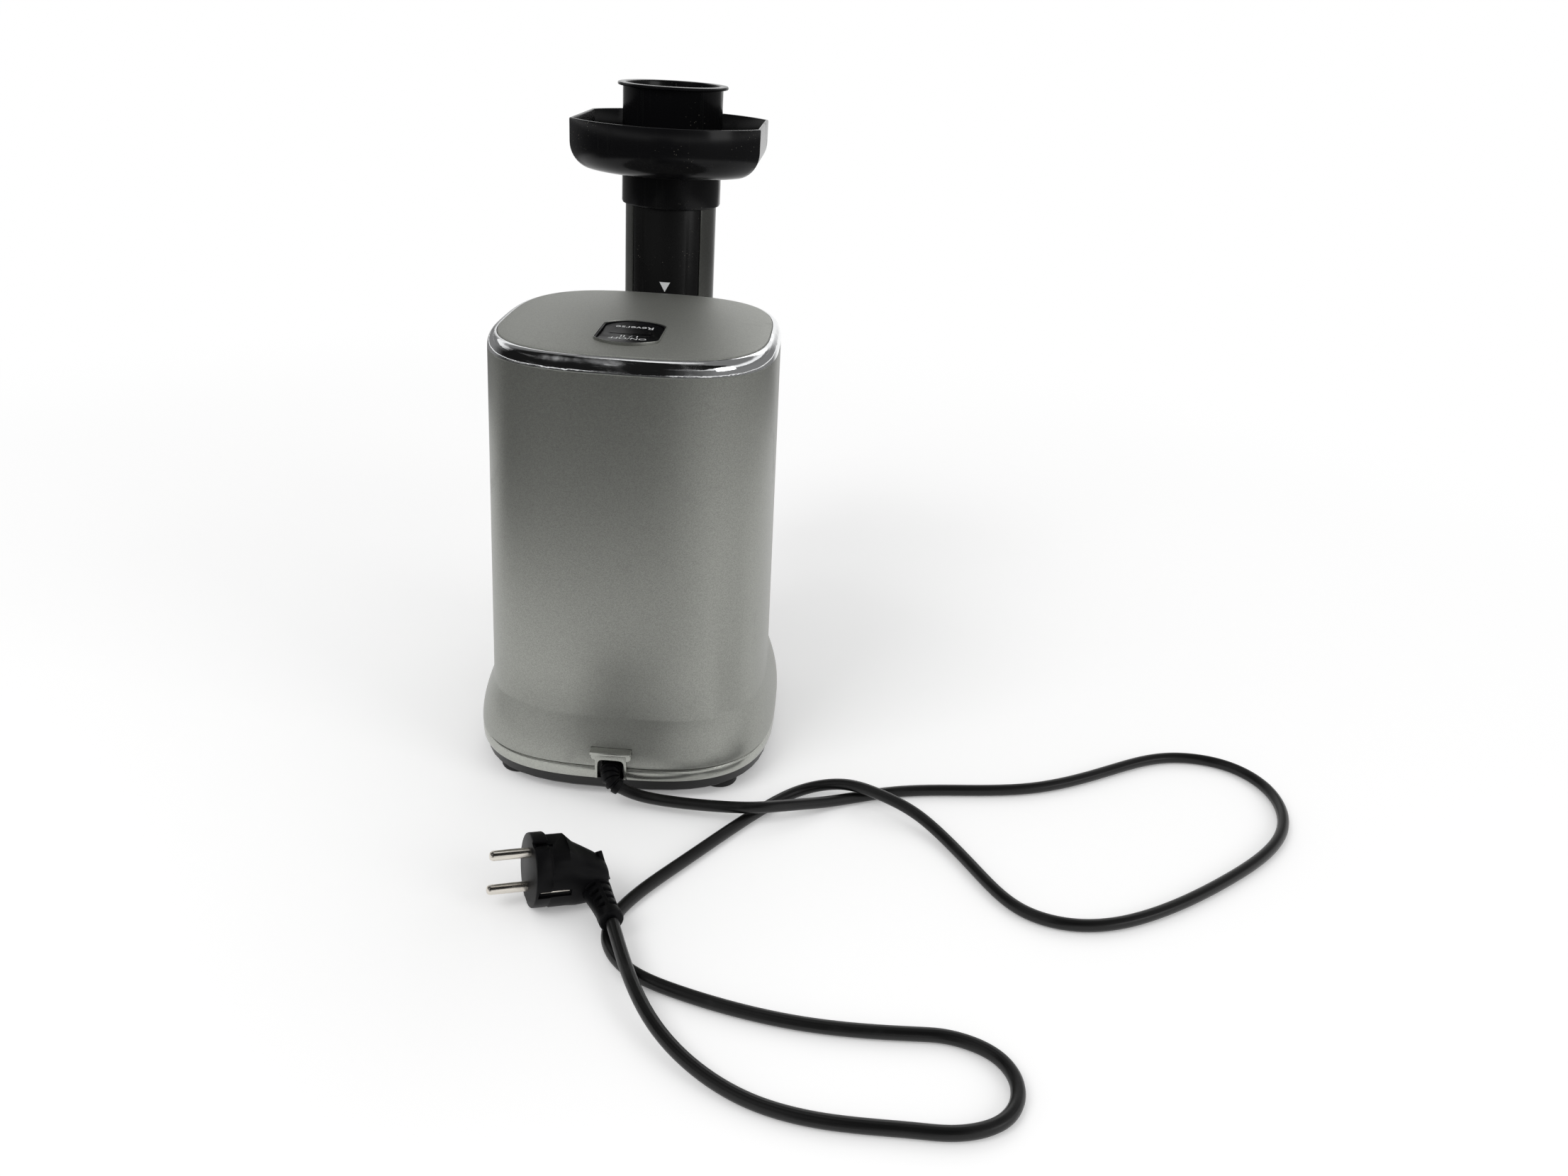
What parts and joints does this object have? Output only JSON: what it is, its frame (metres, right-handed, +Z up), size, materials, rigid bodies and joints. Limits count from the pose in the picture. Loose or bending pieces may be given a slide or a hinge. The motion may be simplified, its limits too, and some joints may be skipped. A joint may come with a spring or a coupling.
{
  "type": "slow juicer",
  "caption": "Upright silver slow juicer with a horizontal drum, feed tube with black hopper tray and pusher, rocker switch on top and a mains cord with plug.",
  "frame": {"origin": "on the table under the middle of the box round the juicer without its cord and plug", "axes": "+Z up, +Y from the rear of the housing, where the cord enters, to the front with the drum and the pulp nozzle, +X to the right as seen from behind"},
  "size_m": [0.455, 0.5405, 0.3482],
  "materials": {
    "silver_plastic": "satin silver lacquer",
    "panel_plastic": "satin silver",
    "chrome": "polished",
    "black_gloss": "polished",
    "black_plastic": "fine grain",
    "rubber": "matte",
    "cord_rubber": "semi-gloss sleeve",
    "steel": "machined",
    "copper": "lacquered wire",
    "zinc": "die cast",
    "gear_plastic": "natural",
    "brass": "machined",
    "board": "lacquered",
    "grey_plastic": "grain",
    "pin_metal": "nickel plated"
  },
  "bodies": {
    "base": {"housing_shell": "silver_plastic", "chrome_trim": "chrome", "top_panel": "panel_plastic", "switch_bezel": "silver_plastic", "switch_block": "grey_plastic", "base_band": "silver_plastic", "base_plate": "black_plastic", "foot_rear_left": "rubber", "foot_rear_right": "rubber", "foot_front_left": "rubber", "foot_front_right": "rubber", "base_screws": "steel", "cord_entry_frame": "silver_plastic", "cord_clamp": "grey_plastic", "socket_ring": "grey_plastic", "motor_cradle": "grey_plastic", "stator_core": "steel", "stator_windings": "copper", "motor_bracket_front": "zinc", "motor_bracket_rear": "zinc", "bearing_front": "steel", "bearing_rear": "steel", "gear_case": "zinc", "gear_cover": "zinc", "gear_case_screws": "steel", "idler_pin": "steel", "output_bearing": "steel", "control_board": "board", "strain_relief": "cord_rubber", "power_cord": "cord_rubber", "plug_body": "cord_rubber", "plug_pins": "pin_metal"},
    "rocker": {"rocker_switch": "black_gloss"},
    "rotor": {"rotor": "steel", "motor_pinion": "brass", "cooling_fan": "grey_plastic"},
    "idler": {"idler_gear": "gear_plastic"},
    "auger": {"output_gear": "steel", "drive_coupling": "grey_plastic", "auger_screw": "black_plastic", "auger_shaft": "steel"},
    "drum": {"drum": "black_plastic", "tube_cover": "silver_plastic", "drum_seal": "rubber", "strainer": "steel"},
    "cap": {"end_cap": "black_plastic", "end_cap_seal": "rubber", "nose_bush": "gear_plastic"},
    "tray": {"hopper_tray": "black_gloss"},
    "pusher": {"pusher": "black_gloss"}
  },
  "joints": [
    {"name": "rocker_tilt", "type": "hinge", "parent": "base", "child": "rocker", "pos_m": [0, -0.10632, 0.2316], "axis": [1, 0, 0], "range_deg": [-7, 7]},
    {"name": "rotor_spin", "type": "hinge", "parent": "base", "child": "rotor", "pos_m": [0, -0.07931, 0.108], "axis": [0, 1, 0], "continuous": true},
    {"name": "idler_spin", "type": "hinge", "parent": "base", "child": "idler", "pos_m": [0.02596, -0.07931, 0.13547], "axis": [0, 1, 0], "continuous": true},
    {"name": "auger_spin", "type": "hinge", "parent": "base", "child": "auger", "pos_m": [0, -0.07931, 0.17], "axis": [0, 1, 0], "continuous": true},
    {"name": "drum_turn", "type": "hinge", "parent": "base", "child": "drum", "pos_m": [0, -0.07931, 0.17], "axis": [0, 1, 0], "range_deg": [0, 40]},
    {"name": "cap_turn", "type": "hinge", "parent": "drum", "child": "cap", "pos_m": [0, -0.07931, 0.17], "axis": [0, 1, 0], "range_deg": [0, 30]},
    {"name": "tray_lift", "type": "slide", "parent": "drum", "child": "tray", "axis": [0, 0, 1], "range_m": [0, 0.022]},
    {"name": "pusher_lift", "type": "slide", "parent": "tray", "child": "pusher", "axis": [0, 0, 1], "range_m": [0, 0.1]}
  ],
  "couplings": [
    {"joint": "idler_spin", "follows": "rotor_spin", "ratio": -0.16667},
    {"joint": "auger_spin", "follows": "rotor_spin", "ratio": 0.033333}
  ]
}
